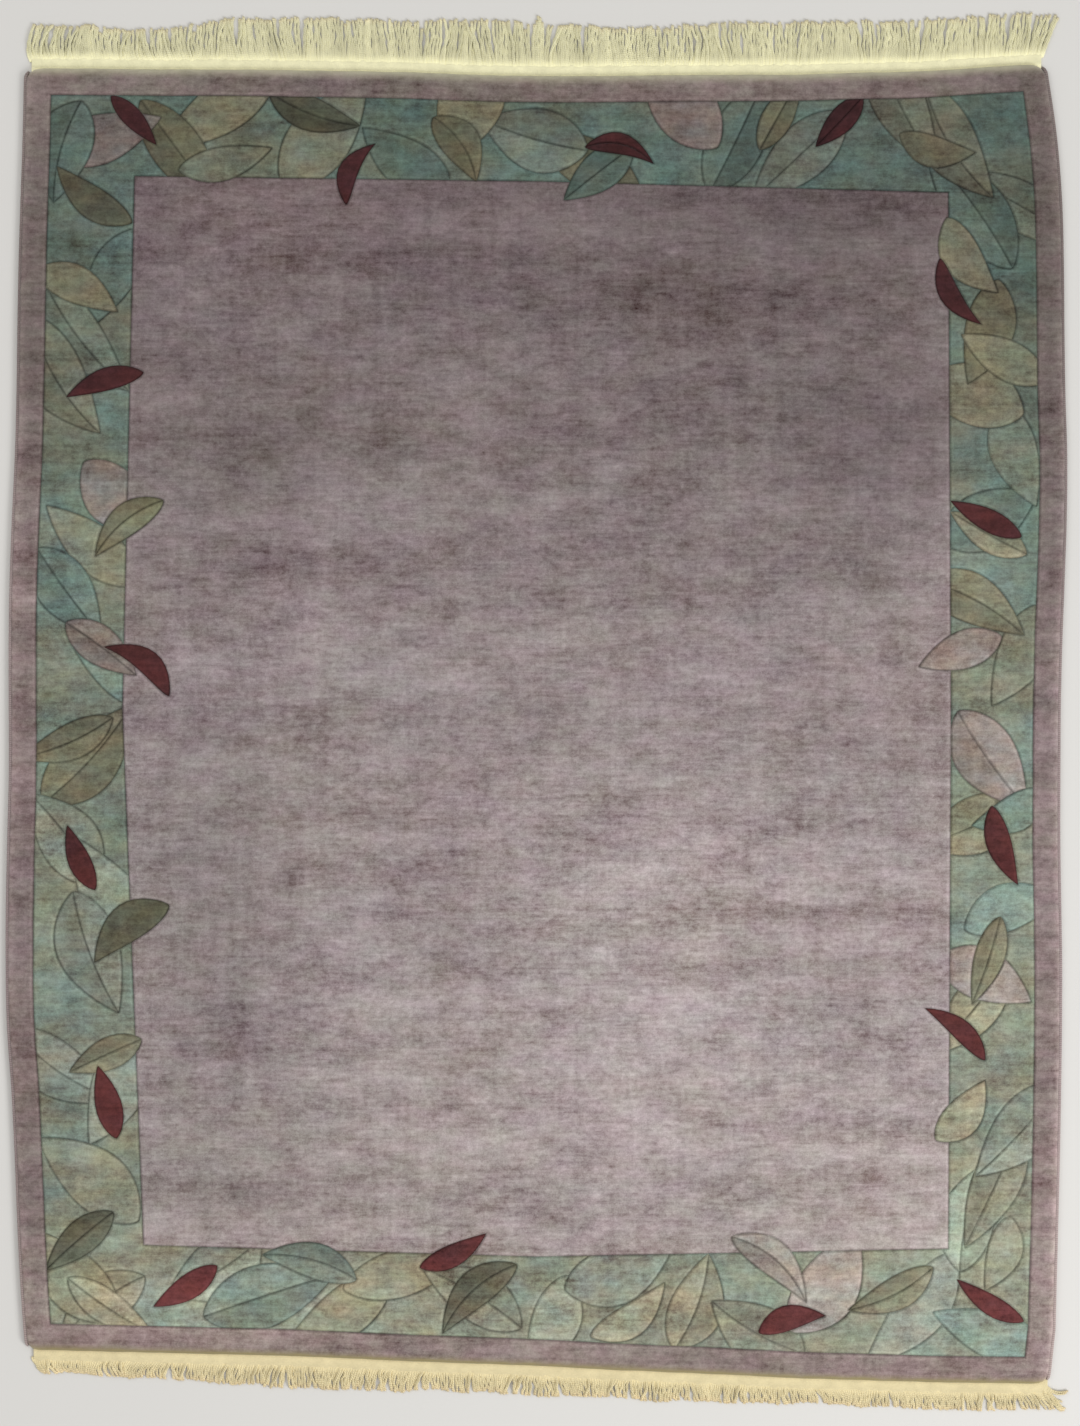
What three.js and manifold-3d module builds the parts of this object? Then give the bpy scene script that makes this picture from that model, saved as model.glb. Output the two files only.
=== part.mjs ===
// Nepalese rug: hand-knotted wool pile on a cotton foundation, with a carved leaf border, fringed ends and
// overcast sides. It lies flat, pile up. Millimetres: +X to its right, +Y to its upper end, +Z up.
// The origin is on the floor, under the middle of the whole rug.

import * as THREE from 'three';
import { mergeVertices } from 'three/addons/utils/BufferGeometryUtils.js';
import Module from 'manifold-3d';

const wasm = await Module();
wasm.setup();

// Heights
const rugThickness = 13;
const pileShoulder = 4;
const pieceGap = 0.3;
const floorSide = 4000;

// Side cords, overcast with wool
const selvedgeWidth = 8;
const selvedgeHeight = 9;
const selvedgeShoulder = 2.5;

// Cotton heading at both ends, woven flat, and the locks of warp that hang from it
const headingHeight = 3.5;
const headingWidth = { top: 22, bottom: 15 };
const locksPerEnd = 132;
const lockFirst = 8;
const lockRoot = 4;
const lockSteps = 2;
const lockSection = { halfWidth: 4.5, height: 5.6 };
const lockSize = { root: 0.5, belly: 1.15, tip: 0.6 };
const lockCurve = 1.5;
const lockUneven = 6;
const lockBow = 0.3;
const lockSway = [
  { wave: 230, amount: 6 },
  { wave: 91, amount: 3 },
];

// Carved lines
const lineWidth = 4.5;
const lineDepth = 3;
const frameFromSide = 53;
const frameFromEnd = 47;
const outlineStep = 120;
const leastStepShare = 0.25;
const cornerAcross = 970;

// The pile's half-width to the left and to the right of the middle, at places up its length.
const sideRows = [
  { up: -1275, left: 968, right: 980 },
  { up: -1205, left: 971, right: 982 },
  { up: -1045, left: 982, right: 986 },
  { up: -890, left: 988, right: 990 },
  { up: -740, left: 995, right: 993 },
  { up: -590, left: 1005, right: 995 },
  { up: -440, left: 1007, right: 995 },
  { up: -285, left: 1005, right: 992 },
  { up: -130, left: 1001, right: 992 },
  { up: 20, left: 1001, right: 993 },
  { up: 170, left: 1001, right: 997 },
  { up: 320, left: 997, right: 1003 },
  { up: 470, left: 990, right: 1005 },
  { up: 620, left: 986, right: 1001 },
  { up: 780, left: 984, right: 999 },
  { up: 930, left: 980, right: 997 },
  { up: 1080, left: 975, right: 986 },
  { up: 1220, left: 972, right: 966 },
];

// How far the pile's ends lie from the middle, how far the fringe reaches past them, and how far its locks lean
// to the right, at places across the width.
const endRows = [
  { across: -975, top: 1211, topFringe: 86, topLean: -14, bottom: 1209, bottomFringe: 48, bottomLean: 8 },
  { across: -897, top: 1211, topFringe: 87, topLean: -2, bottom: 1211, bottomFringe: 50, bottomLean: 5 },
  { across: -745, top: 1209, topFringe: 79, topLean: 3, bottom: 1214, bottomFringe: 55, bottomLean: 2 },
  { across: -593, top: 1209, topFringe: 100, topLean: 0, bottom: 1218, bottomFringe: 59, bottomLean: 1 },
  { across: -442, top: 1207, topFringe: 104, topLean: -3, bottom: 1222, bottomFringe: 64, bottomLean: 0 },
  { across: -214, top: 1203, topFringe: 102, topLean: 2, bottom: 1232, bottomFringe: 61, bottomLean: -2 },
  { across: -63, top: 1197, topFringe: 108, topLean: 0, bottom: 1237, bottomFringe: 61, bottomLean: 0 },
  { across: 165, top: 1197, topFringe: 94, topLean: 3, bottom: 1248, bottomFringe: 59, bottomLean: 2 },
  { across: 317, top: 1199, topFringe: 100, topLean: -2, bottom: 1254, bottomFringe: 60, bottomLean: 0 },
  { across: 468, top: 1199, topFringe: 104, topLean: 2, bottom: 1262, bottomFringe: 54, bottomLean: 3 },
  { across: 620, top: 1203, topFringe: 102, topLean: 0, bottom: 1267, bottomFringe: 56, bottomLean: 1 },
  { across: 772, top: 1207, topFringe: 100, topLean: 3, bottom: 1271, bottomFringe: 57, bottomLean: 4 },
  { across: 923, top: 1219, topFringe: 100, topLean: 8, bottom: 1273, bottomFringe: 57, bottomLean: 10 },
  { across: 985, top: 1219, topFringe: 98, topLean: 26, bottom: 1273, bottomFringe: 57, bottomLean: 24 },
];

// The plain field's edge, anticlockwise from its lower left corner, with the middle of each side.
const fieldEdge = [
  { across: -745, up: -1014 },
  { across: 0, up: -1036 },
  { across: 779, up: -1021 },
  { across: 784, up: 0 },
  { across: 779, up: 979 },
  { across: 0, up: 1000 },
  { across: -762, up: 1010 },
  { across: -785, up: 0 },
];

// The border band runs between these two rows of corners, anticlockwise from the lower left.
const bandCorners = [
  { outer: [-921, -1163], inner: [-745, -1014], length: 1700 },
  { outer: [927, -1226], inner: [779, -1021], length: 2180 },
  { outer: [922, 1172], inner: [779, 979], length: 1700 },
  { outer: [-921, 1164], inner: [-762, 1010], length: 2180 },
];

// The leaves, from the lowest layer up: how many there are round the band, where across it they lie from its
// outer edge (0) to the field (1), and the least and greatest length and width. Upper layers cross into the field.
const leafLayers = [
  { count: 58, rows: [0.16, 0.74, 0.45], length: [190, 280], width: [88, 122], bend: 0.08, points: 4 },
  { count: 28, rows: [0.26, 0.8, 0.55], length: [145, 200], width: [56, 78], bend: 0.12, points: 3 },
  { count: 16, rows: [0.55, 0.95, 0.3], length: [120, 160], width: [38, 52], bend: 0.2, points: 3 },
];
const firstCrossingLayer = 1;
const leafLean = [12, 74];
const leafScatter = { along: 0.5, across: 0.16 };
const leafWidest = 0.8;
const leafFullness = 0.85;
const leafTipGrowth = 4;
const chanceFor = {
  along: 1,
  across: 2,
  lean: 3,
  leanWay: 4,
  length: 5,
  width: 6,
  bend: 7,
  turned: 9,
  lock: 40,
};

// What scrambles two numbers into one that looks drawn at random
const scramble = { number: 12.9898, use: 78.233, spread: 43758.5453 };

// Colours and finish
const pileWool = new THREE.MeshStandardMaterial({ color: 0x93858a, roughness: 0.95, metalness: 0 });
const sideWool = new THREE.MeshStandardMaterial({ color: 0x9c8d8c, roughness: 0.95, metalness: 0 });
const cotton = new THREE.MeshStandardMaterial({ color: 0xd8d2ac, roughness: 0.9, metalness: 0 });

// Reads a column of a table at a place between its rows, along a smooth curve.
function readRows(rows, key, column, place) {
  const last = rows.length - 1;
  let row = 0;
  while (row < last - 1 && rows[row + 1][key] < place) {
    row += 1;
  }
  const share = THREE.MathUtils.clamp((place - rows[row][key]) / (rows[row + 1][key] - rows[row][key]), 0, 1);
  const before = rows[Math.max(row - 1, 0)][column];
  const start = rows[row][column];
  const end = rows[row + 1][column];
  const after = rows[Math.min(row + 2, last)][column];
  const rise = (end - before) / 2;
  const leave = (after - start) / 2;
  const turn = 2 * start - 2 * end + rise + leave;
  const pull = 3 * end - 3 * start - 2 * rise - leave;
  return ((turn * share + pull) * share + rise) * share + start;
}

const leftAt = (up) => -readRows(sideRows, 'up', 'left', up);
const rightAt = (up) => readRows(sideRows, 'up', 'right', up);
const topAt = (across) => readRows(endRows, 'across', 'top', across);
const bottomAt = (across) => -readRows(endRows, 'across', 'bottom', across);

// A number from 0 to 1 that looks drawn at random, the same each time for the same two numbers.
function chance(number, use) {
  const mixed = Math.sin(number * scramble.number + use * scramble.use);
  return Math.abs(mixed * scramble.spread) % 1;
}

// Places along a stretch: its two ends, and the multiples of the outline's step that lie well between them.
function placesBetween(start, end) {
  const low = Math.ceil(Math.min(start, end) / outlineStep + leastStepShare);
  const high = Math.floor(Math.max(start, end) / outlineStep - leastStepShare);
  const between = Array.from({ length: high - low + 1 }, (_, k) => (low + k) * outlineStep);
  return [start, ...(start < end ? between : between.reverse()), end];
}

// The pile's outline drawn in by one distance at the sides and another at the ends, anticlockwise.
function pileOutline(fromSide, fromEnd) {
  const low = { left: bottomAt(-cornerAcross) + fromEnd, right: bottomAt(cornerAcross) + fromEnd };
  const high = { left: topAt(-cornerAcross) - fromEnd, right: topAt(cornerAcross) - fromEnd };
  const bottom = placesBetween(leftAt(low.left) + fromSide, rightAt(low.right) - fromSide);
  const right = placesBetween(low.right, high.right);
  const top = placesBetween(rightAt(high.right) - fromSide, leftAt(high.left) + fromSide);
  const left = placesBetween(high.left, low.left);
  return [
    ...bottom.map((x) => new THREE.Vector2(x, bottomAt(x) + fromEnd)),
    ...right.slice(1, -1).map((y) => new THREE.Vector2(rightAt(y) - fromSide, y)),
    ...top.map((x) => new THREE.Vector2(x, topAt(x) - fromEnd)),
    ...left.slice(1, -1).map((y) => new THREE.Vector2(leftAt(y) + fromSide, y)),
  ];
}

// A closed geometry as a solid that can be joined and cut.
function solidOf(geometry) {
  geometry.deleteAttribute('normal');
  geometry.deleteAttribute('uv');
  const merged = mergeVertices(geometry);
  const vertProperties = merged.attributes.position.array;
  const triVerts = merged.index.array;
  return new wasm.Manifold(new wasm.Mesh({ numProp: 3, vertProperties, triVerts }));
}

// A solid as a named mesh with its finish.
function meshOf(solid, name, material) {
  const cut = solid.getMesh();
  const geometry = new THREE.BufferGeometry();
  geometry.setAttribute('position', new THREE.BufferAttribute(cut.vertProperties, 3));
  geometry.setIndex(new THREE.BufferAttribute(cut.triVerts, 1));
  geometry.computeVertexNormals();
  const mesh = new THREE.Mesh(geometry, material);
  mesh.name = name;
  return mesh;
}

// An upright solid on an outline, between two heights.
function prism(points, low, high) {
  const shape = new THREE.Shape(points);
  const geometry = new THREE.ExtrudeGeometry(shape, { depth: high - low, bevelEnabled: false });
  geometry.translate(0, 0, low);
  return solidOf(geometry);
}

// A flat piece that lies on the floor, with its upper edge rounded off all round.
function flatPiece(points, height, shoulder) {
  const geometry = new THREE.ExtrudeGeometry(new THREE.Shape(points), {
    depth: height,
    bevelThickness: shoulder,
    bevelSize: shoulder,
    bevelOffset: -shoulder,
    bevelSegments: 1,
  });
  geometry.translate(0, 0, -shoulder);
  const below = new THREE.BoxGeometry(floorSide, floorSide, 4 * height);
  below.translate(0, 0, -2 * height);
  return solidOf(geometry).subtract(solidOf(below));
}

// The middle, heading and size of each leaf of a layer, laid round the border band.
function leavesOf(layer, layerNumber) {
  const loop = bandCorners.reduce((sum, corner) => sum + corner.length, 0);
  const step = loop / layer.count;
  const between = (pair, share) => pair[0] + (pair[1] - pair[0]) * share;
  return Array.from({ length: layer.count }, (_, k) => {
    const draw = (use) => chance(k + 1, layerNumber * 10 + chanceFor[use]);
    let along = (k + 0.5 + leafScatter.along * (draw('along') - 0.5)) * step;
    let side = 0;
    while (along > bandCorners[side].length) {
      along -= bandCorners[side].length;
      side += 1;
    }
    const here = bandCorners[side];
    const next = bandCorners[(side + 1) % bandCorners.length];
    const share = along / here.length;
    const across = layer.rows[k % layer.rows.length] + leafScatter.across * (draw('across') - 0.5);
    const [x, y] = [0, 1].map((axis) => {
      const outer = between([here.outer[axis], next.outer[axis]], share);
      const inner = between([here.inner[axis], next.inner[axis]], share);
      return between([outer, inner], across);
    });
    const lean = THREE.MathUtils.degToRad(between(leafLean, draw('lean'))) * (draw('leanWay') < 0.5 ? 1 : -1);
    return {
      x,
      y,
      heading: (side * Math.PI) / 2 + lean + (draw('turned') < 0.5 ? Math.PI : 0),
      length: between(layer.length, draw('length')),
      width: between(layer.width, draw('width')),
      bend: layer.bend * (2 * draw('bend') - 1),
      points: layer.points,
    };
  });
}

// A leaf's outline, pointed at both ends, widest nearer its stalk, bent to one side, and grown all round if asked.
function leafOutline(leaf, grow) {
  const length = leaf.length + leafTipGrowth * grow;
  const half = leaf.width / 2 + grow;
  const middle = new THREE.Vector2(leaf.x, leaf.y);
  const pointAt = (share, way) => {
    const reach = half * Math.sin(Math.PI * share ** leafWidest) ** leafFullness;
    const aside = leaf.bend * length * (4 * share * (1 - share) - 0.5);
    const point = new THREE.Vector2((share - 0.5) * length, aside + way * reach);
    return point.rotateAround(new THREE.Vector2(), leaf.heading).add(middle);
  };
  const inner = Array.from({ length: leaf.points }, (_, k) => (k + 1) / (leaf.points + 1));
  return [
    pointAt(0, 0),
    ...inner.map((share) => pointAt(share, -1)),
    pointAt(1, 0),
    ...inner.reverse().map((share) => pointAt(share, 1)),
  ];
}

// All the carved lines as one solid, to be taken out of the pile. Each leaf hides what lies under it.
function carvedLines() {
  const low = rugThickness - lineDepth;
  const high = rugThickness + lineDepth;
  const half = lineWidth / 2;
  const outward = (place, grow) => place + Math.sign(place) * grow;
  const field = (grow) => {
    const points = fieldEdge.map((row) => new THREE.Vector2(outward(row.across, grow), outward(row.up, grow)));
    return prism(points, low, high);
  };
  const frame = (fromLine) => prism(pileOutline(frameFromSide + fromLine, frameFromEnd + fromLine), low, high);
  const insideFrame = frame(0);
  let lines = null;
  const layLeaf = (leaf) => {
    const grown = prism(leafOutline(leaf, half), low, high);
    const inside = prism(leafOutline(leaf, -half), low, high);
    lines = (lines ? lines.add(grown) : grown).subtract(inside);
  };
  leafLayers.forEach((layer, number) => {
    if (number === firstCrossingLayer) {
      lines = lines.add(field(half)).subtract(field(-half));
    }
    leavesOf(layer, number).forEach(layLeaf);
  });
  return lines.intersect(insideFrame).add(frame(-half).subtract(frame(half)));
}

// The knotted cloth: one thick sheet with the photo's uneven outline and the carved lines in its top.
function rugBody() {
  const outline = pileOutline(selvedgeWidth + pieceGap, 0);
  const cloth = flatPiece(outline, rugThickness, pileShoulder);
  return meshOf(cloth.subtract(carvedLines()), 'rug_body', pileWool);
}

// The overcast cord along one side, -1 for the left and 1 for the right.
function selvedge(side, name) {
  const edgeAt = side < 0 ? leftAt : rightAt;
  const places = placesBetween(bottomAt(side * cornerAcross), topAt(side * cornerAcross));
  const outer = places.map((y) => new THREE.Vector2(edgeAt(y), y));
  const inner = places.map((y) => new THREE.Vector2(edgeAt(y) - side * selvedgeWidth, y));
  const points = side < 0 ? [...inner, ...outer.reverse()] : [...outer, ...inner.reverse()];
  return meshOf(flatPiece(points, selvedgeHeight, selvedgeShoulder), name, sideWool);
}

// One lock of warp ends, a three-sided ridge that lies on the floor, bent sideways and drawn in to its tip.
function lock(x, rootY, length, way, lean, sway) {
  const section = new THREE.Shape([
    new THREE.Vector2(-lockSection.halfWidth, 0),
    new THREE.Vector2(lockSection.halfWidth, 0),
    new THREE.Vector2(0, lockSection.height),
  ]);
  const geometry = new THREE.ExtrudeGeometry(section, { depth: 1, steps: lockSteps, bevelEnabled: false });
  const position = geometry.attributes.position;
  const point = new THREE.Vector3();
  for (let k = 0; k < position.count; k += 1) {
    point.fromBufferAttribute(position, k);
    const share = point.z;
    const size = share === 0 ? lockSize.root : THREE.MathUtils.lerp(lockSize.belly, lockSize.tip, share);
    const aside = lean * share ** lockCurve + sway * Math.sin(Math.PI * share);
    position.setXYZ(k, x - way * size * point.x + aside, rootY + way * share * length, size * point.y);
  }
  return solidOf(geometry);
}

// The heading along one end with its locks, -1 for the lower end and 1 for the upper.
function fringe(way, name) {
  const end = way < 0 ? 'bottom' : 'top';
  const edgeAt = way < 0 ? bottomAt : topAt;
  const left = leftAt(edgeAt(-cornerAcross));
  const right = rightAt(edgeAt(cornerAcross));
  const width = headingWidth[end];
  const inset = selvedgeWidth + pieceGap;
  const places = [left, ...placesBetween(left + inset, right - inset), right];
  const nearRow = places.map((x) => new THREE.Vector2(x, edgeAt(x) + way * pieceGap));
  const farRow = places.map((x) => new THREE.Vector2(x, edgeAt(x) + way * width));
  const points = way < 0 ? [...farRow, ...nearRow.reverse()] : [...nearRow, ...farRow.reverse()];
  let solid = prism(points, 0, headingHeight);
  const pitch = (right - left - 2 * lockFirst) / (locksPerEnd - 1);
  const locks = Array.from({ length: locksPerEnd }, (_, k) => {
    const x = left + lockFirst + k * pitch;
    const uneven = lockUneven * (2 * chance(k + 1, chanceFor.lock + way) - 1);
    const reach = readRows(endRows, 'across', `${end}Fringe`, x) + uneven;
    const lean = readRows(endRows, 'across', `${end}Lean`, x);
    const sway = lockSway.reduce((sum, part) => sum + part.amount * Math.sin((2 * Math.PI * x) / part.wave), 0);
    const rootY = edgeAt(x) + way * (width - lockRoot);
    return lock(x, rootY, reach - width + lockRoot, way, lean + sway, sway * lockBow);
  });
  for (const one of locks) {
    solid = solid.add(one);
  }
  return meshOf(solid, name, cotton);
}

const rug = new THREE.Group();
rug.add(rugBody());
rug.add(selvedge(-1, 'selvedge_left'));
rug.add(selvedge(1, 'selvedge_right'));
rug.add(fringe(1, 'fringe_top'));
rug.add(fringe(-1, 'fringe_bottom'));

export default rug;
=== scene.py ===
import math

import bpy
import numpy as np
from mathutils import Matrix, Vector, noise
from mathutils.geometry import delaunay_2d_cdt


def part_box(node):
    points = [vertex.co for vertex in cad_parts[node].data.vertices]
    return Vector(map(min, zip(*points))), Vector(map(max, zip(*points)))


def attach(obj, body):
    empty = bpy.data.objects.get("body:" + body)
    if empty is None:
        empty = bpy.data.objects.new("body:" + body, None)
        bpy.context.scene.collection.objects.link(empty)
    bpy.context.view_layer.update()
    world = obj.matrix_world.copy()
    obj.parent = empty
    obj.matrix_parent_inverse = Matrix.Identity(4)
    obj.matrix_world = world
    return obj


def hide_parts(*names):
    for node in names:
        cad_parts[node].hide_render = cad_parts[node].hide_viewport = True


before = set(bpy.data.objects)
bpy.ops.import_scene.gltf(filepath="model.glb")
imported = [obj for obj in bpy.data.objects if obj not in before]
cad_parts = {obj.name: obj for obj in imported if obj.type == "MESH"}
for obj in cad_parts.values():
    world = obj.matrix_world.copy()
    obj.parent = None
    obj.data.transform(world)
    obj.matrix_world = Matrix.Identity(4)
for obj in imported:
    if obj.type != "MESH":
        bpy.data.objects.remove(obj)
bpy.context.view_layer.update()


# The knotted cloth: wool pile tied row by row on a cotton foundation, sheared level, then carved with
# scissors along every change of colour. It is one sheet, flat on the floor, and its uneven outline is the
# solid's own.
cloth_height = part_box("rug_body")[1].z
floor_contact = 1e-5
outline_step = 0.008
corner_passes = 3
edge_unevenness = 0.0008
unevenness_size = 0.035
corner_rounding = {"lower": 0.009, "upper": 0.015}
lower_lean = {"left": 0.0, "right": 0.008, "length": 0.10}


def footprint(node):
    """The corners of a flat node's outline on the floor, anticlockwise from the lower left."""
    corners = (v.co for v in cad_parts[node].data.vertices if v.co.z < floor_contact)
    places = {(round(co.x, 6), round(co.y, 6)) for co in corners}
    loop = sorted(places, key=lambda place: math.atan2(place[1], place[0]))
    first = loop.index(min(loop, key=sum))
    return loop[first:] + loop[:first]


outline = footprint("rug_body")
other_corners = ((1, -1), (1, 1), (-1, 1))
turns = [outline.index(max(outline, key=lambda place: x * place[0] + y * place[1])) for x, y in other_corners]
cloth_corners = [outline[k] for k in [0] + turns]
edge_rows = {
    "lower": outline[: turns[0] + 1],
    "right": [(y, x) for x, y in outline[turns[0] : turns[1] + 1]],
    "upper": outline[turns[1] : turns[2] + 1],
    "left": [(y, x) for x, y in outline[turns[2] :] + outline[:1]],
}


def edge(side, places):
    """Where the cloth's edge on one side lies, at places along it, on a smooth curve through its corners."""
    at, value = np.array(sorted(edge_rows[side])).T
    slope = np.gradient(value, at)
    row = np.clip(np.searchsorted(at, places) - 1, 0, len(at) - 2)
    step = at[row + 1] - at[row]
    share = np.clip((places - at[row]) / step, 0, 1)
    start, end = value[row], value[row + 1]
    rise, leave = slope[row] * step, slope[row + 1] * step
    bend = (2 * (start - end) + rise + leave) * share + 3 * (end - start) - 2 * rise - leave
    line = bend * share**2 + rise * share + start
    if side in ("left", "right"):
        inward = lower_lean[side] * np.clip(1 - (places - at[0]) / lower_lean["length"], 0, 1)
        for which, gap in (("lower", places - at[0]), ("upper", at[-1] - places)):
            radius = corner_rounding[which]
            inward += radius * (1 - np.sqrt(1 - np.clip(1 - gap / radius, 0, 1) ** 2))
        line += inward if side == "left" else -inward
    return line


def drawn_in(from_side, from_end, step):
    """The cloth's outline moved in from its sides and ends, anticlockwise, with points about a step apart."""
    inward = {"lower": from_end, "right": -from_side, "upper": -from_end, "left": from_side}
    corners = []
    meeting = (("lower", "left"), ("lower", "right"), ("upper", "right"), ("upper", "left"))
    for (x, y), (level, upright) in zip(cloth_corners, meeting):
        for _ in range(corner_passes):
            x, y = edge(upright, y) + inward[upright], edge(level, x) + inward[level]
        corners.append((x, y))
    loop = []
    for k, side in enumerate(inward):
        axis, after = k % 2, (k + 1) % 4
        count = round(abs(cloth_corners[after][axis] - cloth_corners[k][axis]) / step)
        places = np.linspace(corners[k][axis], corners[after][axis], count, endpoint=False)
        line = (places, edge(side, places) + inward[side])
        loop.append(np.stack(line if axis == 0 else line[::-1], 1))
    return np.concatenate(loop)


# The design: a plain outer band, a frame line, a border of leaves and a plain field. The leaves are laid in
# three layers round the border, each hiding what lies under it, and the two upper ones cross into the field.
frame_line = {"from_side": 0.0447, "from_end": 0.047, "step": 0.06, "waver": 0.0008}
field_line = np.array((
    (-0.745, -1.014), (0.0, -1.036), (0.779, -1.021), (0.784, 0.0),
    (0.779, 0.979), (0.0, 1.000), (-0.762, 1.010), (-0.785, 0.0),
))
band_corners = (
    {"outer": (-0.921, -1.163), "inner": (-0.745, -1.014), "length": 1.70},
    {"outer": (0.927, -1.226), "inner": (0.779, -1.021), "length": 2.18},
    {"outer": (0.922, 1.172), "inner": (0.779, 0.979), "length": 1.70},
    {"outer": (-0.921, 1.164), "inner": (-0.762, 1.010), "length": 2.18},
)
leaf_layers = (
    {"count": 58, "rows": (0.16, 0.74, 0.45),
     "length": (0.190, 0.280), "width": (0.088, 0.122), "bend": 0.08,
     "dyes": ("pale olive", "teal", "mauve", "sage", "grey teal", "sage", "deep teal", "mint", "olive")},
    {"count": 28, "rows": (0.26, 0.80, 0.55),
     "length": (0.145, 0.200), "width": (0.056, 0.078), "bend": 0.12,
     "dyes": ("olive", "deep olive", "deep teal", "pale olive", "mauve", "olive", "sage")},
    {"count": 16, "rows": (0.55, 0.95, 0.30),
     "length": (0.120, 0.160), "width": (0.038, 0.052), "bend": 0.20,
     "dyes": ("burgundy",)},
)
leaf_lean = (12, 74)
leaf_scatter = {"along": 0.5, "across": 0.16}
leaf_widest = 0.8
leaf_fullness = 0.85
leaf_step = 0.010
two_tone_share = 0.4
half_in_shade = 0.80
line_reach = 0.020
waver_levels = (0.5, 7.5)
chance_for = {
    "along": 1, "across": 2, "lean": 3, "lean_way": 4, "length": 5,
    "width": 6, "bend": 7, "dye": 8, "turned": 9, "two_tone": 10,
}
chance_steps = {"number": 12.9898, "use": 78.233, "spread": 43758.5453}


def chance(number, use):
    """A number from 0 to 1 that looks drawn at random, the same each time for the same two numbers."""
    place = number * chance_steps["number"] + use * chance_steps["use"]
    return abs(math.sin(place) * chance_steps["spread"]) % 1


def between(pair, share):
    """A value that lies a share of the way from the first of a pair to the second."""
    return pair[0] + (pair[1] - pair[0]) * share


def leaf_side(leaf, shares, way):
    """Points along one edge of a leaf, way 1 or -1, or along its midrib, way 0."""
    reach = way * leaf["width"] / 2 * np.sin(np.pi * shares**leaf_widest) ** leaf_fullness
    up = leaf["bend"] * leaf["length"] * (4 * shares * (1 - shares) - 0.5) + reach
    along = (shares - 0.5) * leaf["length"]
    cos, sin = math.cos(leaf["heading"]), math.sin(leaf["heading"])
    return np.stack((leaf["x"] + along * cos - up * sin, leaf["y"] + along * sin + up * cos), 1)


def leaf_areas(layer, number):
    """The leaves of one layer as closed lines with their dyes, and the lower half of each two-toned one."""
    loop = sum(corner["length"] for corner in band_corners)
    for k in range(layer["count"]):
        draw = {use: chance(k + 1, number * len(chance_for) + code) for use, code in chance_for.items()}
        along = (k + 0.5 + leaf_scatter["along"] * (draw["along"] - 0.5)) * loop / layer["count"]
        side = 0
        while along > band_corners[side]["length"]:
            along -= band_corners[side]["length"]
            side += 1
        here, after = band_corners[side], band_corners[(side + 1) % len(band_corners)]
        share = along / here["length"]
        across = layer["rows"][k % len(layer["rows"])] + leaf_scatter["across"] * (draw["across"] - 0.5)
        rows = [between((np.array(here[row]), np.array(after[row])), share) for row in ("outer", "inner")]
        x, y = between(rows, across)
        lean = math.radians(between(leaf_lean, draw["lean"])) * (1 if draw["lean_way"] < 0.5 else -1)
        leaf = {
            "x": x,
            "y": y,
            "heading": side * math.pi / 2 + lean + (math.pi if draw["turned"] < 0.5 else 0),
            "length": between(layer["length"], draw["length"]),
            "width": between(layer["width"], draw["width"]),
            "bend": layer["bend"] * (2 * draw["bend"] - 1),
        }
        turn = np.linspace(0, np.pi, round(leaf["length"] / leaf_step) + 1)
        shares = (1 - np.cos(turn)) / 2
        lower = leaf_side(leaf, shares[:-1], -1)
        upper = leaf_side(leaf, shares[:0:-1], 1)
        midrib = leaf_side(leaf, shares[:0:-1], 0)
        yield {
            "line": np.concatenate((lower, upper)),
            "half": np.concatenate((lower, midrib)) if draw["two_tone"] < two_tone_share else None,
            "dye": layer["dyes"][int(draw["dye"] * len(layer["dyes"]))],
        }


def wavered(line, amount, size):
    """A line drawn by hand: its points moved a little, by smooth noise."""
    moves = [[noise.noise(Vector((x / size, y / size, level))) for level in waver_levels] for x, y in line]
    return line + amount * np.array(moves)


areas = list(leaf_areas(leaf_layers[0], 0))
areas.append({"line": field_line, "half": None, "dye": "field"})
for number in (1, 2):
    areas.extend(leaf_areas(leaf_layers[number], number))
frame_points = drawn_in(frame_line["from_side"], frame_line["from_end"], frame_line["step"])
frame_points = wavered(frame_points, frame_line["waver"], frame_line["step"])
areas.append({"line": frame_points, "half": None, "dye": "outer band"})


def measured(points, line):
    """Whether each point lies inside a closed line, and how far from the line it is."""
    inside = np.zeros(len(points), bool)
    away = np.full(len(points), line_reach)
    x, y = points.T
    for start, end in zip(line, np.roll(line, -1, 0)):
        span = end - start
        if span[1]:
            crossed = x < start[0] + (y - start[1]) * span[0] / span[1]
            inside ^= ((y < start[1]) != (y < end[1])) & crossed
        near = np.flatnonzero(
            (x > min(start[0], end[0]) - line_reach) & (x < max(start[0], end[0]) + line_reach)
            & (y > min(start[1], end[1]) - line_reach) & (y < max(start[1], end[1]) + line_reach)
        )
        share = np.clip((points[near] - start) @ span / (span @ span), 0, 1)
        gap = np.linalg.norm(points[near] - start - share[:, None] * span, axis=1)
        away[near] = np.minimum(away[near], gap)
    return inside, away


def painted(points):
    """For each point: its area's number, whether it is in a shaded half, and how far the nearest line is."""
    area_of = np.full(len(points), -1)
    shaded = np.zeros(len(points), bool)
    away = np.full(len(points), line_reach)
    for number, area in enumerate(areas):
        is_band = area["dye"] == "outer band"
        low, high = area["line"].min(0) - line_reach, area["line"].max(0) + line_reach
        near = np.flatnonzero(((points > low) & (points < high)).all(1) | is_band)
        inside, gap = measured(points[near], area["line"])
        covered = near[inside != is_band]
        away[near] = np.where(inside != is_band, gap, np.minimum(away[near], gap))
        area_of[covered], shaded[covered] = number, False
        if area["half"] is not None:
            in_half, gap = measured(points[covered], area["half"])
            shaded[covered] = in_half
            away[covered] = np.minimum(away[covered], gap)
    return area_of, shaded, away


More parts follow.
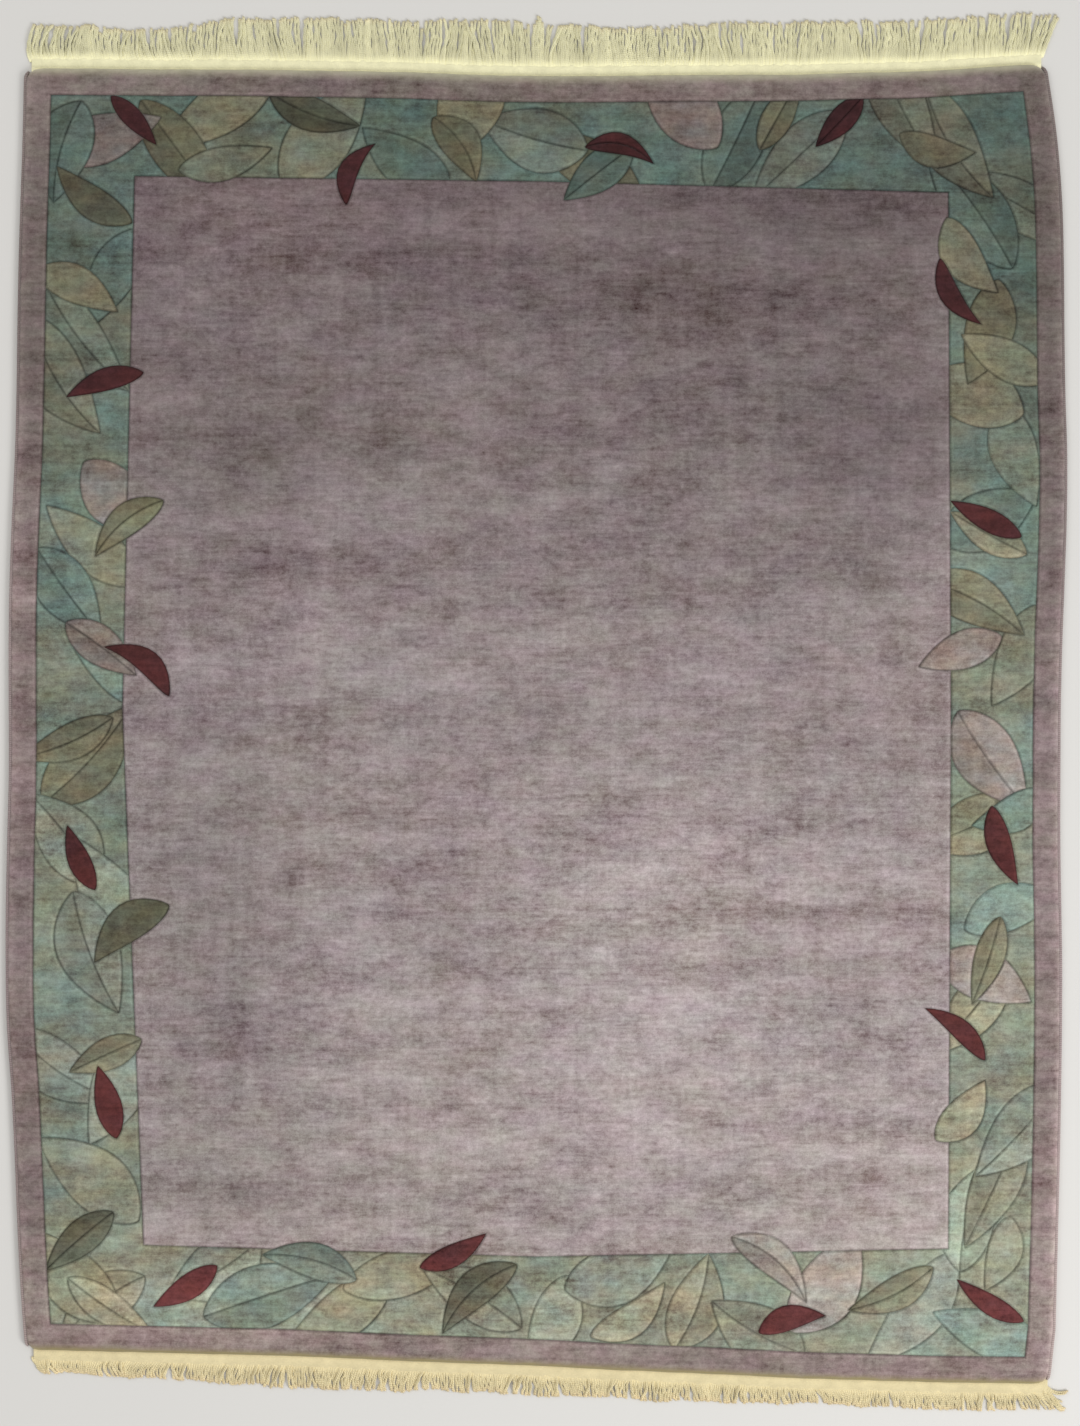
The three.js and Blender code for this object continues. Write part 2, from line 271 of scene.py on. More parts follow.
# The cloth's mesh: triangles laid between the carved lines and the outline, above and below, joined by the
# rounded edge of the pile. The carved lines are real grooves, and the pile is a little pillowed beside them.
groove = {"half_width": 0.0023, "depth": 0.0024}
pillow = {"half_width": 0.0068, "depth": 0.0006}
shearing = {"depth": 0.0004, "size": 0.06}
top_layout = {"line_step": 0.012, "grid_step": 0.0125, "clear": 0.010}
back_layout = {"line_step": 0.06, "grid_step": 0.09, "clear": 0.02}
in_sight = {"from": 0.75, "to": 2.4, "slack": 0.0002}
merge_within = 5e-5
sharpest_corner = 0.42
edge_softening = 2
edge_profile = (
    {"side": 0.0085, "end": 0.0085, "height": 0.0128},
    {"side": 0.0040, "end": 0.0040, "height": 0.0125},
    {"side": 0.0008, "end": 0.0006, "height": 0.0117},
    {"side": -0.0018, "end": -0.0018, "height": 0.0104},
    {"side": -0.0026, "end": -0.0032, "height": 0.0090},
    {"side": -0.0004, "end": -0.0038, "height": 0.0068},
    {"side": -0.0002, "end": -0.0034, "height": 0.0042},
    {"side": 0.0028, "end": 0.0028, "height": 0.0},
)


def softened(loop, times):
    """A closed line with its corners rounded a little."""
    for _ in range(times):
        loop = (np.roll(loop, 1, 0) + 2 * loop + np.roll(loop, -1, 0)) / 4
    return loop


def beside(line, distance):
    """A closed line moved to its left by a distance, with sharp corners kept short."""
    before, after = line - np.roll(line, 1, 0), np.roll(line, -1, 0) - line
    before /= np.linalg.norm(before, axis=1)[:, None]
    after /= np.linalg.norm(after, axis=1)[:, None]
    mean = before + after
    length = np.linalg.norm(mean, axis=1)
    stretch = 1 / np.maximum(length / 2, sharpest_corner)
    left = np.stack((-mean[:, 1], mean[:, 0]), 1) / np.maximum(length, 1e-9)[:, None]
    return line + left * (distance * stretch)[:, None]


def split(line, step):
    """A closed line with its long stretches divided to about a step."""
    parts = []
    for start, end in zip(line, np.roll(line, -1, 0)):
        count = max(1, round(float(np.linalg.norm(end - start)) / step))
        parts.append(start + (end - start) * (np.arange(count) / count)[:, None])
    return np.concatenate(parts)


def laid_out(ring, offsets, line_step, grid_step, clear):
    """A ring filled with triangles that follow the carved lines: points, triangles, the ring's own points."""
    lines = [line for area in areas for line in (area["line"], area["half"]) if line is not None]
    traced = [(beside(split(line, line_step), offset), abs(offset)) for line in lines for offset in offsets]
    drawn = np.concatenate([line for line, _ in traced])
    width = np.concatenate([np.full(len(line), offset) for line, offset in traced])
    ends = np.cumsum([len(line) for line, _ in traced])
    after = np.arange(1, len(drawn) + 1)
    after[ends - 1] = np.concatenate(((0,), ends[:-1]))
    away = painted(drawn)[2]
    seen = (away >= in_sight["from"] * width) & (away < in_sight["to"] * width + in_sight["slack"])
    starts = np.flatnonzero(seen | seen[after])
    used, places = np.unique(np.concatenate((starts, after[starts])), return_inverse=True)
    low, high = ring.min(0), ring.max(0)
    columns = np.arange(low[0], high[0], grid_step)
    rows = np.arange(low[1], high[1], grid_step * math.sqrt(3) / 2)
    grid = np.array([(x + (k % 2) * grid_step / 2, y) for k, y in enumerate(rows) for x in columns])
    x, y = grid.T
    inset = np.min((x - edge("left", y), edge("right", y) - x, y - edge("lower", x), edge("upper", x) - y), 0)
    grid = grid[inset > edge_profile[0]["side"] + grid_step / 2]
    grid = grid[painted(grid)[2] > clear]
    around = np.arange(len(ring))
    edges = np.concatenate((np.stack((around, np.roll(around, -1))).T, places.reshape(2, -1).T + len(ring)))
    points = [Vector(p) for p in np.concatenate((ring, drawn[used], grid))]
    rim = [around.tolist()]
    made, _, faces, sources, _, _ = delaunay_2d_cdt(points, edges.tolist(), rim, 1, merge_within)
    found = {source: k for k, group in enumerate(sources) for source in group if source < len(ring)}
    return np.array([p[:] for p in made]), np.array(faces), [found[k] for k in around]


base = drawn_in(0, 0, outline_step)
outward = base - beside(base, 1)
bumps = np.array([noise.noise(Vector((x / unevenness_size, y / unevenness_size, 0))) for x, y in base])
bumpy = outward * (bumps * edge_unevenness)[:, None]
rings = [drawn_in(row["side"], row["end"], outline_step) for row in edge_profile]
rings = [softened(ring, edge_softening) + bumpy for ring in rings]
offsets = (0, groove["half_width"], -groove["half_width"], pillow["half_width"], -pillow["half_width"])
top, top_faces, top_ring = laid_out(rings[0], offsets, **top_layout)
back, back_faces, back_ring = laid_out(rings[-1], (0,), **back_layout)

from_line = painted(top)[2]
shorn = np.array([0.5 + noise.noise(Vector((x, y, 0)) / shearing["size"]) for x, y in top])
top_height = (
    cloth_height
    - groove["depth"] * np.clip(1 - from_line / groove["half_width"], 0, 1)
    - pillow["depth"] * np.clip(1 - from_line / pillow["half_width"], 0, 1) ** 2
    - shearing["depth"] * shorn
)
top_height[top_ring] = edge_profile[0]["height"]
flat_rows = [top, *rings[1:-1], back]
edge_heights = [np.full(len(base), row["height"]) for row in edge_profile[1:-1]]
cloth_plan = np.concatenate(flat_rows)
cloth_points = np.column_stack((cloth_plan, np.concatenate((top_height, *edge_heights, np.zeros(len(back))))))
row_starts = np.cumsum([0] + [len(row) for row in flat_rows])
ring_points = [np.array(top_ring)]
ring_points += [start + np.arange(len(base)) for start in row_starts[1:-2]]
ring_points += [row_starts[-2] + np.array(back_ring)]
edge_faces = np.concatenate([
    np.stack((upper, lower, np.roll(lower, -1), np.roll(upper, -1)), 1)
    for upper, lower in zip(ring_points, ring_points[1:])
])
back_faces = back_faces[:, ::-1] + row_starts[-2]


def meshed(name, points, faces, finish):
    """A piece made of points and faces, smooth all over."""
    mesh = bpy.data.meshes.new(name)
    mesh.from_pydata(points.tolist(), [], faces)
    mesh.shade_smooth()
    mesh.materials.append(finish)
    piece = bpy.data.objects.new(name, mesh)
    bpy.context.collection.objects.link(piece)
    return piece


def marked(piece, name, kind, domain, values):
    """Writes an attribute of a piece's points or corners, for its finish to read."""
    attribute = piece.data.attributes.new(name, kind, domain)
    part = "color" if kind == "FLOAT_COLOR" else "value"
    attribute.data.foreach_set(part, np.ravel(values).astype(np.float32))


# The wool's dyes, with painted sheen and light in them. Each is painted lighter and greyer towards the lower
# end, where one looks along the lie of the pile, and darker towards the upper end. Brushed patches of pile
# get painted sheen, lighter or darker, and the right side is painted lighter towards the lower end and darker
# towards the upper end. The pile's ends show a little of the pale cotton between the knots, and its sides get
# a painted highlight where they turn down.
dye_places = (0.0, 0.3, 1.0)
# Painted sheen: these dyes are listed lighter at the lower end and darker at the upper end.
plain_dyes_with_sheen = {
    "field": ((160, 150, 148), (158, 148, 149), (101, 89, 91)),
    "outer band": ((141, 127, 124), (132, 118, 118), (117, 106, 103)),
    "burgundy": ((98, 53, 53), (83, 43, 43), (58, 29, 31)),
}
leaf_dyes = {
    "teal": (114, 136, 126),
    "deep teal": (103, 121, 111),
    "mint": (134, 146, 130),
    "sage": (127, 132, 114),
    "mauve": (139, 131, 126),
    "grey teal": (127, 137, 125),
    "olive": (120, 120, 98),
    "deep olive": (95, 96, 78),
    "pale olive": (138, 138, 115),
}
# Painted sheen: leaf dyes lighter towards the lower end, darker at the upper end, and greyer at the lower
# end.
leaf_light = (1.38, 1.22, 0.60)
sheen_greying = {"share": (0.30, 0.15, 0.0), "shade": (134, 135, 121)}
mottling_of = {"field": 0.35, "outer band": 1.0}
leaf_mottling = 0.55
leaf_variety = {"amount": 0.16, "use": 11}
ground_dyes = ("teal", "sage")
ground_change = {"size": 0.16, "amount": 1.1, "towards_lower": 0.28}
# Painted light: the right side lighter towards the lower end and darker towards the upper end.
painted_side_light = {"amount": 0.11, "fade": 2.1}
# Painted sheen: patches where the brushed pile is painted lighter or darker.
brushed_sheen = (
    {"x": -1.00, "y": 0.78, "across": 0.24, "along": 0.34, "light": -0.30},
    {"x": 1.00, "y": 0.80, "across": 0.12, "along": 0.34, "light": -0.28},
    {"x": -0.60, "y": -1.15, "across": 0.45, "along": 0.14, "light": 0.30},
    {"x": 0.84, "y": 0.14, "across": 0.12, "along": 0.40, "light": 0.16},
    {"x": 1.00, "y": 0.27, "across": 0.06, "along": 0.16, "light": -0.15},
    {"x": 0.25, "y": -0.25, "across": 0.45, "along": 0.17, "light": 0.15},
    {"x": 0.56, "y": 0.90, "across": 0.28, "along": 0.10, "light": -0.13},
    {"x": 0.45, "y": -1.24, "across": 0.50, "along": 0.06, "light": -0.12},
    {"x": -1.00, "y": 0.25, "across": 0.12, "along": 0.30, "light": 0.17},
    {"x": -1.00, "y": -0.85, "across": 0.10, "along": 0.25, "light": -0.12},
    {"x": -0.62, "y": -0.42, "across": 0.17, "along": 0.40, "light": -0.24},
    {"x": -0.58, "y": 0.90, "across": 0.26, "along": 0.12, "light": 0.14},
    {"x": -0.55, "y": 0.49, "across": 0.22, "along": 0.15, "light": -0.19},
    {"x": 0.66, "y": 0.50, "across": 0.20, "along": 0.17, "light": -0.25},
    {"x": 0.28, "y": -0.45, "across": 0.36, "along": 0.30, "light": 0.12},
    {"x": 0.22, "y": 0.17, "across": 0.42, "along": 0.14, "light": 0.10},
    {"x": -0.16, "y": -0.40, "across": 0.10, "along": 0.16, "light": -0.09},
    {"x": 0.36, "y": 1.19, "across": 0.42, "along": 0.11, "light": 0.14},
    {"x": 0.57, "y": -0.47, "across": 0.15, "along": 0.13, "light": -0.12},
    {"x": 1.00, "y": -0.45, "across": 0.05, "along": 0.45, "light": -0.07},
    {"x": -0.55, "y": -0.93, "across": 0.20, "along": 0.12, "light": -0.09},
    {"x": -0.50, "y": 0.10, "across": 0.20, "along": 0.16, "light": 0.06},
)
end_rims = {
    "upper": {"width": 0.0185, "reach": 0.78, "shade": (200, 196, 168)},
    "lower": {"width": 0.014, "reach": 0.95, "shade": (147, 135, 98)},
}
# How far in from the sides the painted highlight on the turned-down pile reaches.
side_highlight_width = 0.020


def linear(shade):
    """A shade given as screen values from 0 to 255, as amounts of light."""
    return ((np.array(shade) / 255 + 0.055) / 1.055) ** 2.4


def shades_of(number, dye):
    """A dye at the three places along the rug, with the painted sheen along it and each leaf's own small
    difference.
    """
    if dye in plain_dyes_with_sheen:
        return linear(plain_dyes_with_sheen[dye])
    own = 1 + leaf_variety["amount"] * (chance(number + 1, leaf_variety["use"]) - 0.5)
    full = linear(leaf_dyes[dye])
    pale = linear(sheen_greying["shade"])
    greyed_by_sheen = full + np.array(sheen_greying["share"])[:, None] * (pale * full.sum() / pale.sum() - full)
    return np.array(leaf_light)[:, None] * greyed_by_sheen * own


ground, other_ground = (shades_of(0, dye) for dye in ground_dyes)
shade_table = np.array([*(shades_of(k, area["dye"]) for k, area in enumerate(areas)), ground])
mottling = np.array([*(mottling_of.get(area["dye"], leaf_mottling) for area in areas), leaf_mottling])


def dyed(points):
    """The wool's colour at each point, with its painted sheen and light, and how mottled it is."""
    area_of, shaded, _ = painted(points)
    x, y = points.T
    up = np.clip((y - edge("lower", x)) / (edge("upper", x) - edge("lower", x)), 0, 1)
    weights = np.stack([np.interp(up, dye_places, row) for row in np.eye(3)], 1)
    # painted light: lighter to the right at the lower end, darker to the right at the upper end
    light = 1 + painted_side_light["amount"] * x * (1 - painted_side_light["fade"] * up)
    light *= np.where(shaded, half_in_shade, 1)
    # painted sheen: brushed patches of pile made lighter or darker
    for patch in brushed_sheen:
        off = ((x - patch["x"]) / patch["across"]) ** 2 + ((y - patch["y"]) / patch["along"]) ** 2
        light *= 1 + patch["light"] * np.exp(-off)
    shades = shade_table[area_of]
    bare = np.flatnonzero(area_of < 0)
    spots = [noise.noise(Vector((*points[k], 0)) / ground_change["size"]) for k in bare]
    change = 0.5 + ground_change["amount"] * np.array(spots) - ground_change["towards_lower"] * y[bare]
    shades[bare] += np.clip(change, 0, 1)[:, None, None] * (other_ground - shades[bare])
    colour = (shades * weights[:, :, None]).sum(1) * light[:, None]
    return np.column_stack((colour, mottling[area_of]))


cloth_faces = [*top_faces.tolist(), *edge_faces.tolist(), *back_faces.tolist()]
corner_counts = [3] * len(top_faces) + [4] * len(edge_faces) + [3] * len(back_faces)
centres = np.concatenate([cloth_plan[faces].mean(1) for faces in (top_faces, edge_faces, back_faces)])
x, y = cloth_plan.T
end_gaps = {"upper": edge("upper", x) - y, "lower": y - edge("lower", x)}
side_gap = np.minimum(x - edge("left", y), edge("right", y) - x)
on_back = np.arange(len(cloth_plan)) >= row_starts[-2]
# Painted highlight where the pile's sides turn down, none on the back.
side_rim = np.clip(1 - side_gap / side_highlight_width, 0, 1) ** 2 * ~on_back
line_distance = np.full(len(cloth_plan), line_reach)
line_distance[: len(top)] = from_line


class Flow:
    """A value that flows between shader nodes, for sums as with a number."""

    def __init__(self, finish, socket):
        self.finish = finish
        self.socket = socket

    def __add__(self, other):
        return self.finish.maths("ADD", self, other)

    def __radd__(self, other):
        return self.finish.maths("ADD", other, self)

    def __sub__(self, other):
        return self.finish.maths("SUBTRACT", self, other)

    def __rsub__(self, other):
        return self.finish.maths("SUBTRACT", other, self)

    def __mul__(self, other):
        return self.finish.maths("MULTIPLY", self, other)

    def __rmul__(self, other):
        return self.finish.maths("MULTIPLY", other, self)

    def __truediv__(self, other):
        return self.finish.maths("DIVIDE", self, other)

    def __abs__(self):
        return self.finish.maths("ABSOLUTE", self)

    def least(self, other):
        return self.finish.maths("MINIMUM", self, other)

    def most(self, other):
        return self.finish.maths("MAXIMUM", self, other)


class Finish:
    """A material being made up. Grains of different sizes are read far apart from each other in the noise."""

    apart = {"times": 97, "within": 13}

    def __init__(self, name):
        self.material = bpy.data.materials.new(name)
        self.material.use_nodes = True
        self.shader = self.material.node_tree.nodes["Principled BSDF"]
        self.place = self.node("ShaderNodeTexCoord", {}, {}, "Object")

    def feed(self, socket, value):
        """Gives a socket a number, a colour or a flow."""
        if isinstance(value, Flow):
            self.material.node_tree.links.new(value.socket, socket)
        else:
            socket.default_value = value

    def node(self, kind, settings, sockets, out=0):
        """Any node, with its settings and what goes into its sockets."""
        made = self.material.node_tree.nodes.new(kind)
        for name, value in settings.items():
            setattr(made, name, value)
        for name, value in sockets.items():
            self.feed(made.inputs[name], value)
        return Flow(self, made.outputs[out])

    def maths(self, operation, *values):
        return self.node("ShaderNodeMath", {"operation": operation}, dict(enumerate(values)))

    def attribute(self, name, out="Fac"):
        return self.node("ShaderNodeAttribute", {"attribute_name": name}, {}, out)

    def parts(self, kind, value):
        """The three separate numbers in a place or a colour."""
        return [Flow(self, output) for output in self.node(kind, {}, {0: value}).socket.node.outputs]

    def stretched(self, value, by, base):
        """A place, a colour or a number times three numbers, added to a base."""
        return self.node("ShaderNodeVectorMath", {"operation": "MULTIPLY_ADD"}, {0: value, 1: by, 2: base})

    def grain(self, size, detail=1.0):
        """Noise from about -1 to 1, in spots as large as size, in metres along each axis."""
        moved = [length * self.apart["times"] % self.apart["within"] for length in size]
        place = self.stretched(self.place, [1 / length for length in size], moved)
        return self.node("ShaderNodeTexNoise", {}, {"Vector": place, "Scale": 1.0, "Detail": detail}) * 2 - 1

    def tinted(self, colour, tint):
        """A colour times another, or times three numbers."""
        return self.node("ShaderNodeVectorMath", {"operation": "MULTIPLY"}, {0: colour, 1: tint})

    def scaled(self, colour, amount):
        """A colour times a number that varies."""
        return self.node("ShaderNodeVectorMath", {"operation": "SCALE"}, {0: colour, "Scale": amount})

    def mixed(self, amount, first, second):
        """From the first colour to the second as amount goes from 0 to 1."""
        sockets = {"Factor": amount, 6: first, 7: second}
        return self.node("ShaderNodeMix", {"data_type": "RGBA"}, sockets, 2)

    def surface(self, colour, height, **values):
        """Connects the colour and the relief, in metres, and sets the rest."""
        self.feed(self.shader.inputs["Base Color"], colour)
        relief = self.node("ShaderNodeBump", {}, {"Strength": 1.0, "Distance": 1.0, "Height": height})
        self.feed(self.shader.inputs["Normal"], relief)
        for name, value in values.items():
            self.feed(self.shader.inputs[name.replace("_", " ")], value)


# The wool's finish: hand-spun yarn takes the dye unevenly, so each row of knots is a little lighter or darker
# than the next, with larger clouds where a new lot of yarn begins. The sheared tufts give it a short grain.
# Painted shade darkens the carved lines, and painted highlights run beside them and along the turned-down
# sides.
line_shade = {"reach": 0.0036, "least": 0.1}
# Painted highlight in a thin line just beside each carved line.
groove_edge_highlight = {"at": 0.0048, "half_width": 0.003, "light": 0.10}
side_rim_light = 0.42
leaf_mottling_span = 6
relief_shown = {"least": 0.25, "by_dye": 3.5}
wool = Finish("sheared_wool")
dye = wool.attribute("dye", "Color")
mottled = wool.attribute("dye", "Alpha")
distance = wool.attribute("line_distance")
knot_rows = 0.25 * wool.grain((0.070, 0.0065, 1)) + 0.12 * wool.grain((0.030, 0.0036, 1))
clouds = (
    0.27 * wool.grain((0.40, 0.28, 1))
    + 0.35 * wool.grain((0.13, 0.065, 1))
    + 0.33 * wool.grain((0.050, 0.027, 1))
)
specks = (
    0.37 * wool.grain((0.016, 0.012, 1))
    + 0.28 * wool.grain((0.0075, 0.0065, 1))
    + 0.30 * wool.grain((0.0026, 0.0024, 0.01))
)
warp_streaks = 0.09 * wool.grain((0.010, 0.24, 1)) + 0.16 * wool.grain((0.034, 0.32, 1))
yarn_lots = 0.34 * wool.grain((1.5, 0.10, 1))
mottling_spots = 0.22 * mottled * wool.grain((0.030, 0.022, 1))
unevenness = knot_rows + clouds + specks + warp_streaks + yarn_lots + mottling_spots
shade_reach = line_shade["reach"] + 0.0016 * wool.grain((0.05, 0.05, 1))
in_line = (1 - distance / shade_reach).most(0)
beside_groove_highlight = (1 - abs(distance - groove_edge_highlight["at"]) / groove_edge_highlight["half_width"]).most(0)
# How strong the painted shade in the carved lines is, uneven along them.
cut = 0.40 + 0.34 * wool.grain((0.16, 0.16, 1)) + 0.20 * wool.grain((0.03, 0.03, 1))
# Painted light: shade in the carved lines, a highlight beside them and a highlight on the turned-down sides.
light = (
    (1 - cut.most(line_shade["least"]) * in_line)
    * (1 + groove_edge_highlight["light"] * beside_groove_highlight)
    * (1 + side_rim_light * wool.attribute("side_rim"))
)
tone = wool.stretched(unevenness, (0.92, 1.04, 1.04), (1, 1, 1))
bluer = wool.grain((0.08, 0.05, 1), 2.5) + 0.8 * wool.grain((0.30, 0.24, 1))
tone = wool.stretched(bluer, (-0.015, 0, 0.06), tone)
in_leaf = (1 - leaf_mottling_span * abs(mottled - leaf_mottling)).most(0)
bluish = wool.tinted(dye, (0.93, 1.00, 1.09))
rusty = wool.tinted(dye, (1.09, 0.975, 0.92))
rust = (0.5 + 1.5 * wool.grain((0.075, 0.050, 1), 2.0)).most(0).least(1)
dye = wool.mixed(in_leaf, dye, wool.mixed(rust, bluish, rusty))
pinker = wool.tinted(dye, (1.05, 0.97, 1.00))
browner = wool.tinted(dye, (0.98, 1.01, 0.95))
brown = wool.grain((0.06, 0.035, 1), 2.0) * (0.7 + mottled) + 0.6 * wool.grain((0.30, 0.22, 1)) + 0.5
shown = wool.tinted(wool.mixed(brown.most(0).least(1), pinker, browner), tone)
for end, rim in end_rims.items():
    bared = wool.attribute(f"{end}_rim").most(0)
    bared = bared * bared * (1 + 0.5 * wool.grain((0.03, 0.012, 1)))
    shown = wool.mixed(bared.least(1), shown, (*linear(rim["shade"]), 1))
tufts_relief = (
    0.00035 * wool.grain((0.0022, 0.0020, 0.004))
    + 0.00035 * wool.grain((0.0034, 0.0034, 0.03))
    + 0.00018 * wool.grain((0.020, 0.0033, 0.01))
    + 0.00030 * wool.grain((0.012, 0.010, 0.05))
)
relief_share = (relief_shown["least"] + relief_shown["by_dye"] * wool.attribute("dye", "Fac")).least(1)
wool.surface(
    wool.scaled(shown, light), tufts_relief * relief_share,
    Roughness=0.95, Specular_IOR_Level=0.12, Sheen_Weight=0.26, Sheen_Roughness=0.5,
)

# The back, seen when a corner is turned up: the same colours in small knots between the cotton warps.
knot_pitch = 0.0033
knot_height = 0.0003
warps_seen = {"share": 0.22, "shade": (196, 186, 160)}
knots = Finish("knotted_back")
across, along, _ = knots.parts("ShaderNodeSeparateXYZ", knots.place)
waves = [knots.maths("SINE", way * (2 * math.pi / knot_pitch)) for way in (across, along)]
knot = waves[0] * waves[1]
knot_light = 0.85 + 0.15 * knot + 0.25 * knots.grain((0.004, 0.0033, 1)) + 0.2 * knots.grain((0.05, 0.004, 1))
knot_colour = knots.scaled(knots.attribute("dye", "Color"), knot_light)
knots.surface(
    knots.mixed(warps_seen["share"], knot_colour, (*linear(warps_seen["shade"]), 1)), knot_height * knot,
    Roughness=0.95, Specular_IOR_Level=0.1,
)

cloth = meshed("knotted_cloth", cloth_points, cloth_faces, wool.material)
cloth.data.materials.append(knots.material)
face_finish = np.repeat((0, 1), (len(cloth_faces) - len(back_faces), len(back_faces)))
cloth.data.polygons.foreach_set("material_index", face_finish)
marked(cloth, "dye", "FLOAT_COLOR", "CORNER", np.repeat(dyed(centres), corner_counts, 0))
marked(cloth, "line_distance", "FLOAT", "POINT", line_distance)
for end, rim in end_rims.items():
    marked(cloth, f"{end}_rim", "FLOAT", "POINT", rim["reach"] * (1 - end_gaps[end] / rim["width"]))
marked(cloth, "side_rim", "FLOAT", "POINT", side_rim)
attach(cloth, "root")
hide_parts("rug_body")


# The side cords: the outermost warps on each side, bound together into a cord that is wrapped in the same
# wool, turn beside turn, and lies against the cloth. Painted shade darkens the creases between the turns.
cord_gap = 0.0003
cord_width = 0.008
cord_squareness = 0.75
cord_step = 0.006
cord_points = 12
wrap_pitch = 0.0038
wrap_slant = 170
cord_end = {"stop": 0.0045, "taper": 0.014, "size": 0.45}
edge_samples = 4000
dye_from_inside = 0.02
side_wool = Finish("wrapping_wool")
_, along, up = side_wool.parts("ShaderNodeSeparateXYZ", side_wool.place)
seam = 1 - abs(side_wool.maths("SINE", along * (math.pi / wrap_pitch) + up * wrap_slant))
seam = seam * seam
# The band's wool made lighter, with painted shade in the creases between the turns.
wrap_light = (
    1.66
    - 0.62 * seam
    + 0.22 * side_wool.grain((1, 0.0036, 1))
    + 0.25 * side_wool.grain((0.002, 0.0015, 0.002))
    + 0.25 * side_wool.grain((1, 0.06, 1))
)
side_wool.surface(
    side_wool.scaled(side_wool.attribute("dye", "Color"), wrap_light),
    0.00015 * side_wool.grain((0.0012, 0.0008, 0.0012)) - 0.0007 * seam,
    Roughness=0.95, Specular_IOR_Level=0.15, Sheen_Weight=0.3, Sheen_Roughness=0.45,
)


def tube_faces(rings, points, start=0):
    """Faces that close a row of rings into a tube with flat ends."""
    first = start + (np.arange(rings - 1)[:, None] * points + np.arange(points)).ravel()
    beyond = start + (np.arange(rings - 1)[:, None] * points + (np.arange(points) + 1) % points).ravel()
    sides = np.stack((first, beyond, beyond + points, first + points), 1).tolist()
    last = start + (rings - 1) * points
    return [*sides, list(range(start + points - 1, start - 1, -1)), list(range(last, last + points))]


def run_along(path):
    """How far along a path each of its points lies."""
    return np.concatenate(((0,), np.cumsum(np.linalg.norm(np.diff(path, axis=0), axis=1))))


def side_cord(name, node, side, way):
    """One side cord, from end to end of its solid."""
    low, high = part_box(node)
    half_width = cord_width / 2
    half_height = high.z / 2
    y = np.linspace(low.y + cord_end["stop"], high.y - cord_end["stop"], edge_samples)
    rim = np.stack((edge(side, y), y), 1)
    ahead = np.gradient(rim, axis=0)
    ahead /= np.linalg.norm(ahead, axis=1)[:, None]
    out = way * ahead[:, ::-1] * (1, -1)
    middle = rim + out * (cord_gap + half_width)
    run = run_along(middle)
    places = np.linspace(0, run[-1], round(run[-1] / cord_step))
    middle, out, rim = (
        np.stack([np.interp(places, run, row) for row in line.T], 1) for line in (middle, out, rim)
    )
    turn = 2 * math.pi * np.arange(cord_points) / cord_points
    from_end = np.clip(np.minimum(places, run[-1] - places) / cord_end["taper"], 0, 1)
    size = (cord_end["size"] + (1 - cord_end["size"]) * np.sqrt(from_end))[:, None]
    flat_cos = np.sign(np.cos(turn)) * np.abs(np.cos(turn)) ** cord_squareness
    flat_sin = np.sign(np.sin(turn)) * np.abs(np.sin(turn)) ** cord_squareness
    plan = middle[:, None] + half_width * (size * flat_cos)[..., None] * out[:, None]
    z = half_height * (size + way * size * flat_sin)
    points = np.concatenate((plan, np.maximum(z, 0)[..., None]), -1).reshape(-1, 3)
    piece = meshed(name, points, tube_faces(len(places), len(turn)), side_wool.material)
    shades = dyed(rim - dye_from_inside * out)
    marked(piece, "dye", "FLOAT_COLOR", "POINT", np.repeat(shades, len(turn), 0))
    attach(piece, "root")
    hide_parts(node)
    return piece


trimmings = [
    side_cord("side_cord_left", "selvedge_left", "left", -1),
    side_cord("side_cord_right", "selvedge_right", "right", 1),
]

# The headings: past the last row of knots the cotton warps are woven with cotton weft into a flat band, which
# keeps the knots from working loose. Its outer edge wavers a little, and it is tucked under the pile. Each
# heading's colour carries painted light across it, and the lower one painted shade towards its right.
yarn_lay = 0.0085
cotton = Finish("unbleached_cotton")
cos_turn, sin_turn, run = cotton.parts("ShaderNodeSeparateColor", cotton.attribute("turn", "Color"))
wound = run * (4 * math.pi / yarn_lay)
ply = (
    (cos_turn * cos_turn - sin_turn * sin_turn) * cotton.maths("COSINE", wound)
    + 2 * cos_turn * sin_turn * cotton.maths("SINE", wound)
)
# Painted shade in the creases between the two plies, fading out where the yarn is bound near its root.
crease = (0.5 - 0.5 * ply) * (0.5 - 0.5 * ply) * cotton.attribute("turn", "Alpha")
cotton_light = (
    1.03
    - 0.30 * crease
    + 0.20 * cotton.grain((0.0014, 0.0014, 0.0014))
    + 0.14 * cotton.grain((0.025, 0.02, 0.02))
)
cotton.surface(
    cotton.scaled(cotton.attribute("cotton", "Color"), cotton_light),
    0.00010 * cotton.grain((0.0008, 0.0012, 0.0008)) - 0.0004 * crease,
    Roughness=0.92, Specular_IOR_Level=0.2, Sheen_Weight=0.15, Sheen_Roughness=0.5,
)
